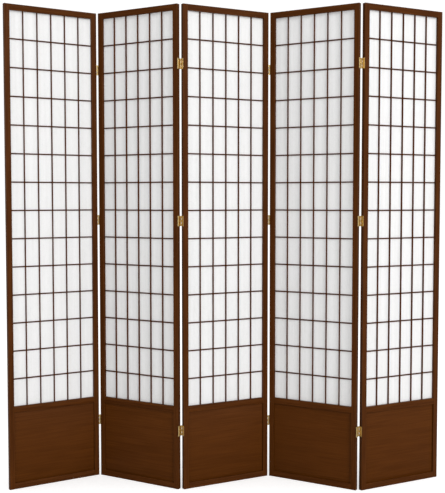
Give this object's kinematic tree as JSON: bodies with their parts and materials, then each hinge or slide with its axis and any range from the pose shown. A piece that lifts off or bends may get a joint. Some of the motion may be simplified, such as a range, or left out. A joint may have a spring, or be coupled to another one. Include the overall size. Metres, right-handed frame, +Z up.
{
  "type": "folding screen",
  "caption": "Tall folding shoji screen: wooden frames with a paper-backed lattice over a kick board, joined by double-action hinges in a zigzag.",
  "frame": {"origin": "on the floor, at the centre of the plan of the screen as it stands", "axes": "+Z up, +X along the screen from its left end to its right as seen from the front, -Y towards the front"},
  "size_m": [1.9464, 0.2552, 2.134],
  "materials": {
    "frame_wood": "dark brown stain under satin lacquer",
    "board_wood": "dark brown stain under satin lacquer",
    "lattice_wood": "dark brown stain under satin lacquer",
    "paper": "white fibrous paper, matt and translucent",
    "hinge_brass": "polished brass plate",
    "screw_brass": "polished brass plate"
  },
  "bodies": {
    "panel_1": {"panel_1_left_stile": "frame_wood", "panel_1_right_stile": "frame_wood", "panel_1_top_rail": "frame_wood", "panel_1_middle_rail": "frame_wood", "panel_1_bottom_rail": "frame_wood", "panel_1_kick_board": "board_wood", "panel_1_lattice": "lattice_wood", "panel_1_paper": "paper", "panel_1_hinge_leaves": "hinge_brass", "panel_1_hinge_screws": "screw_brass"},
    "panel_2": {"panel_2_left_stile": "frame_wood", "panel_2_right_stile": "frame_wood", "panel_2_top_rail": "frame_wood", "panel_2_middle_rail": "frame_wood", "panel_2_bottom_rail": "frame_wood", "panel_2_kick_board": "board_wood", "panel_2_lattice": "lattice_wood", "panel_2_paper": "paper", "panel_2_hinge_leaves": "hinge_brass", "panel_2_hinge_screws": "screw_brass"},
    "panel_3": {"panel_3_left_stile": "frame_wood", "panel_3_right_stile": "frame_wood", "panel_3_top_rail": "frame_wood", "panel_3_middle_rail": "frame_wood", "panel_3_bottom_rail": "frame_wood", "panel_3_kick_board": "board_wood", "panel_3_lattice": "lattice_wood", "panel_3_paper": "paper", "panel_3_hinge_leaves": "hinge_brass", "panel_3_hinge_screws": "screw_brass"},
    "panel_4": {"panel_4_left_stile": "frame_wood", "panel_4_right_stile": "frame_wood", "panel_4_top_rail": "frame_wood", "panel_4_middle_rail": "frame_wood", "panel_4_bottom_rail": "frame_wood", "panel_4_kick_board": "board_wood", "panel_4_lattice": "lattice_wood", "panel_4_paper": "paper", "panel_4_hinge_leaves": "hinge_brass", "panel_4_hinge_screws": "screw_brass"},
    "panel_5": {"panel_5_left_stile": "frame_wood", "panel_5_right_stile": "frame_wood", "panel_5_top_rail": "frame_wood", "panel_5_middle_rail": "frame_wood", "panel_5_bottom_rail": "frame_wood", "panel_5_kick_board": "board_wood", "panel_5_lattice": "lattice_wood", "panel_5_paper": "paper", "panel_5_hinge_leaves": "hinge_brass", "panel_5_hinge_screws": "screw_brass"},
    "link_1": {"hinge_1_links": "hinge_brass", "hinge_1_pins": "hinge_brass"},
    "link_2": {"hinge_2_links": "hinge_brass", "hinge_2_pins": "hinge_brass"},
    "link_3": {"hinge_3_links": "hinge_brass", "hinge_3_pins": "hinge_brass"},
    "link_4": {"hinge_4_links": "hinge_brass", "hinge_4_pins": "hinge_brass"}
  },
  "joints": [
    {"name": "fold_2_back_barrel", "type": "hinge", "parent": "panel_3", "child": "link_2", "pos_m": [-0.20518, -0.09417, 1.067], "axis": [0, 0, -1], "range_deg": [-58, 122]},
    {"name": "fold_2_front_barrel", "type": "hinge", "parent": "link_2", "child": "panel_2", "pos_m": [-0.21508, -0.11131, 1.067], "axis": [0, 0, -1], "range_deg": [-176, 0]},
    {"name": "fold_1_back_barrel", "type": "hinge", "parent": "panel_2", "child": "link_1", "pos_m": [-0.58485, 0.12503, 1.067], "axis": [0, 0, 1], "range_deg": [-180, 0]},
    {"name": "fold_1_front_barrel", "type": "hinge", "parent": "link_1", "child": "panel_1", "pos_m": [-0.59475, 0.10789, 1.067], "axis": [0, 0, 1], "range_deg": [-62, 118]},
    {"name": "fold_3_front_barrel", "type": "hinge", "parent": "panel_3", "child": "link_3", "pos_m": [0.1912, 0.09417, 1.067], "axis": [0, 0, -1], "range_deg": [-58, 122]},
    {"name": "fold_3_back_barrel", "type": "hinge", "parent": "link_3", "child": "panel_4", "pos_m": [0.2011, 0.11131, 1.067], "axis": [0, 0, -1], "range_deg": [-180, 0]},
    {"name": "fold_4_front_barrel", "type": "hinge", "parent": "panel_4", "child": "link_4", "pos_m": [0.57086, -0.12503, 1.067], "axis": [0, 0, 1], "range_deg": [-180, 0]},
    {"name": "fold_4_back_barrel", "type": "hinge", "parent": "link_4", "child": "panel_5", "pos_m": [0.58076, -0.10789, 1.067], "axis": [0, 0, 1], "range_deg": [-58, 122]}
  ]
}
